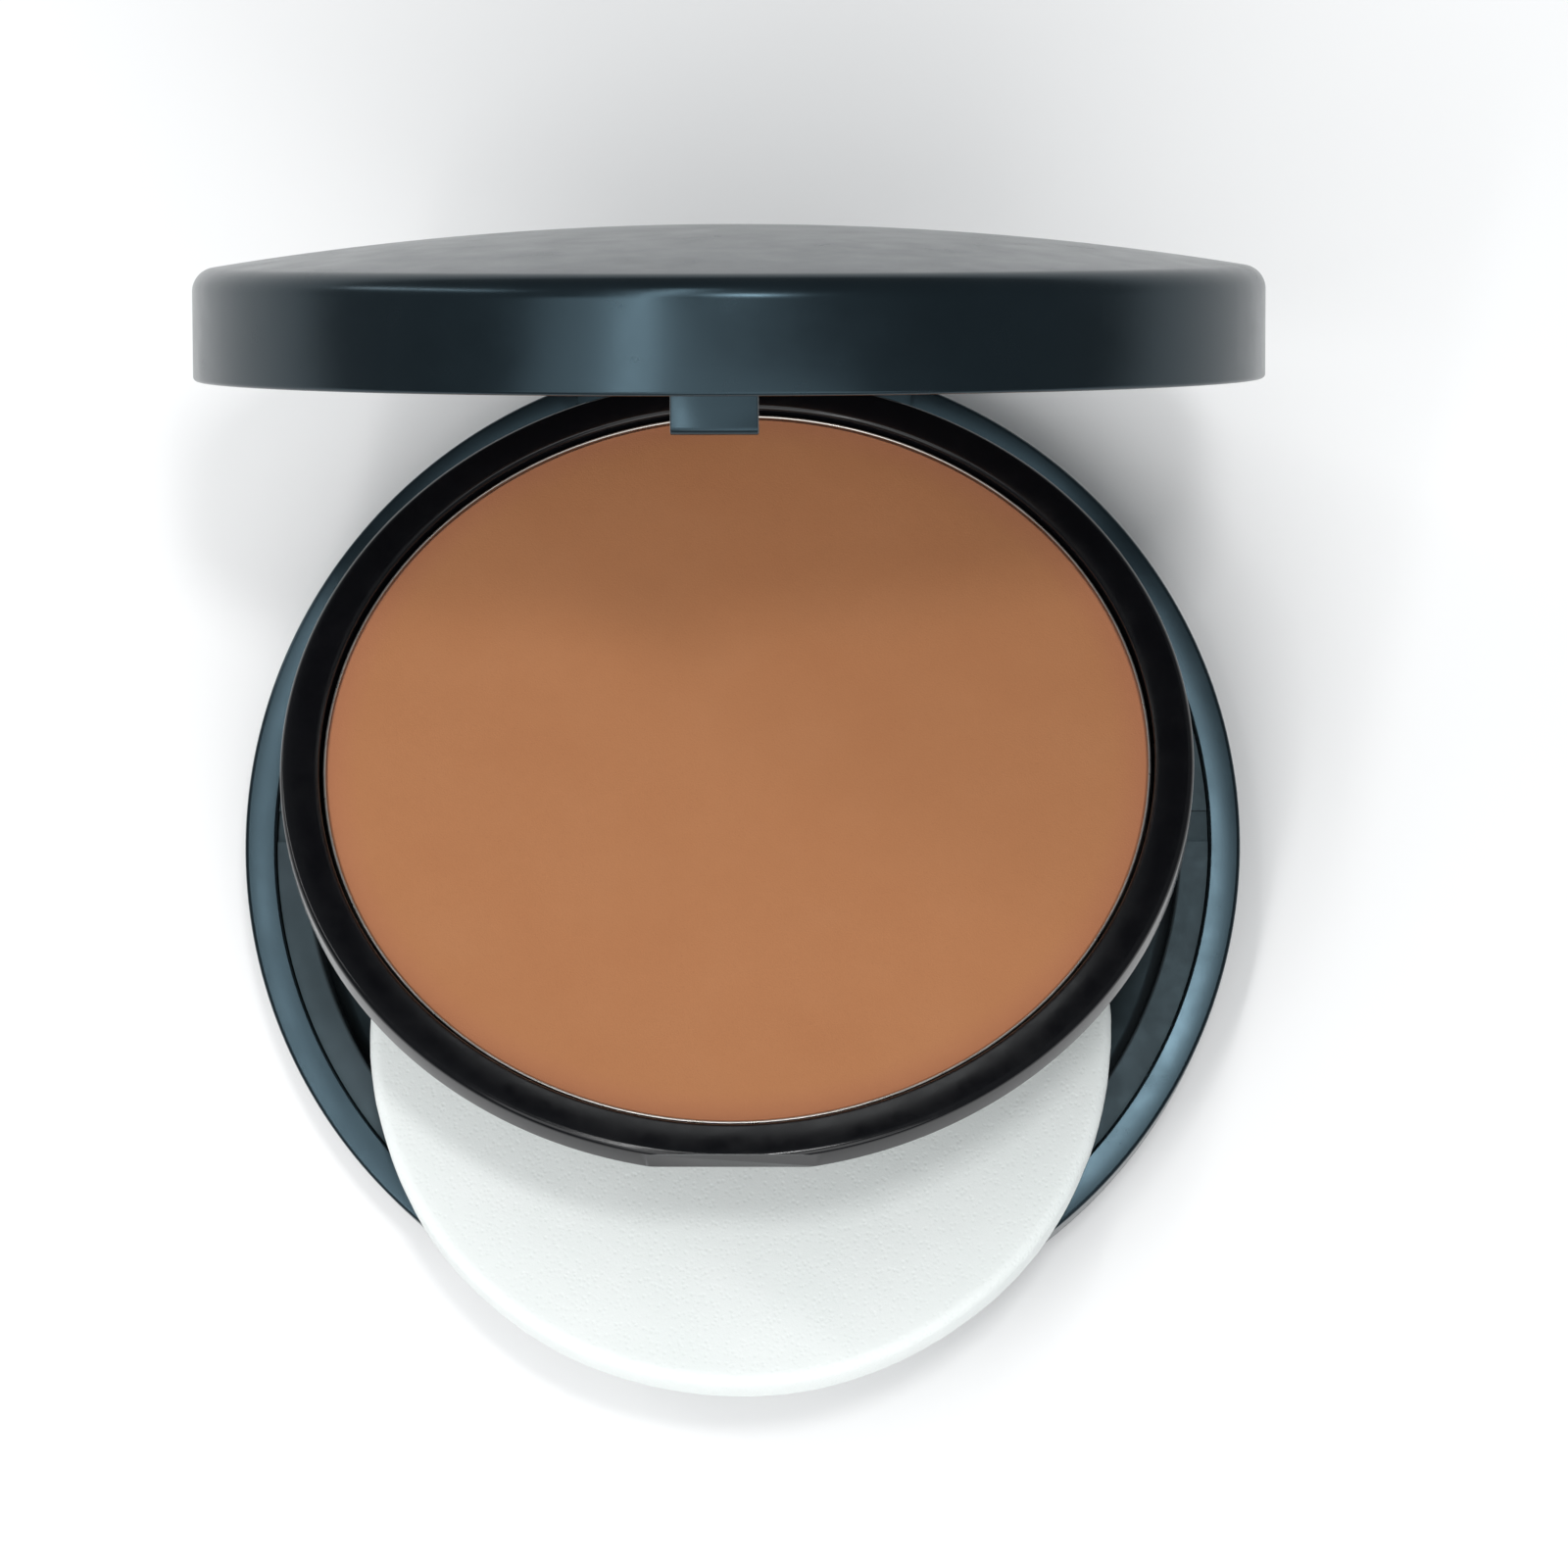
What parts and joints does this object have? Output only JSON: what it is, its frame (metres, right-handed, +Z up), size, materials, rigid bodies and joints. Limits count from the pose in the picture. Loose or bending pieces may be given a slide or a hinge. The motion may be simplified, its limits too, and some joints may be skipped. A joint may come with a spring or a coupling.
{
  "type": "powder compact",
  "caption": "Round powder compact: low-domed mirrored lid, lifting tray with a pan of pressed powder, and a sponge in the compartment under it.",
  "frame": {"origin": "centre of the base's flat resting face", "axes": "+Z up out of the resting face, -Y towards the latch at the front, +Y towards the hinge at the back, +X to the right seen from the front"},
  "size_m": [0.076, 0.0876, 0.0835],
  "materials": {
    "soft_touch_black": "satin",
    "gloss_black": "gloss",
    "steel": "satin",
    "pan_aluminium": "satin",
    "pressed_powder": "matte",
    "white_foam": "matte",
    "mirror": "polished",
    "adhesive": "satin",
    "label_paper": "satin"
  },
  "bodies": {
    "base": {"base_shell": "soft_touch_black", "base_liner": "gloss_black", "base_label": "label_paper", "hinge_pin": "steel", "button_spring": "steel"},
    "button": {"push_button": "soft_touch_black"},
    "tray": {"tray_frame": "gloss_black", "powder_pan": "pan_aluminium", "powder_cake": "pressed_powder", "pan_adhesive": "adhesive"},
    "lid": {"lid_shell": "soft_touch_black", "mirror_frame": "gloss_black", "mirror_glass": "mirror", "mirror_tape": "adhesive"},
    "sponge": {"sponge": "white_foam"}
  },
  "joints": [
    {"name": "tray_hinge", "type": "hinge", "parent": "base", "child": "tray", "pos_m": [0, 0.0372, 0.009], "axis": [-1, 0, 0], "range_deg": [-22.3, 0], "deforming": ["sponge"]},
    {"name": "lid_hinge", "type": "hinge", "parent": "tray", "child": "lid", "pos_m": [0, 0.0372, 0.009], "axis": [-1, 0, 0], "range_deg": [-53.4, 36.6]},
    {"name": "button_press", "type": "slide", "parent": "base", "child": "button", "axis": [0, 1, 0], "range_m": [0, 0.0008], "stiffness_N_per_m": 600, "springref_m": -0.0006, "deforming": ["button_spring"]},
    {"name": "sponge_lift", "type": "hinge", "parent": "base", "child": "sponge", "pos_m": [0, 0.02053, 0.08001], "axis": [-1, 0, 0], "range_deg": [0, 40], "deforming": ["sponge"]}
  ]
}
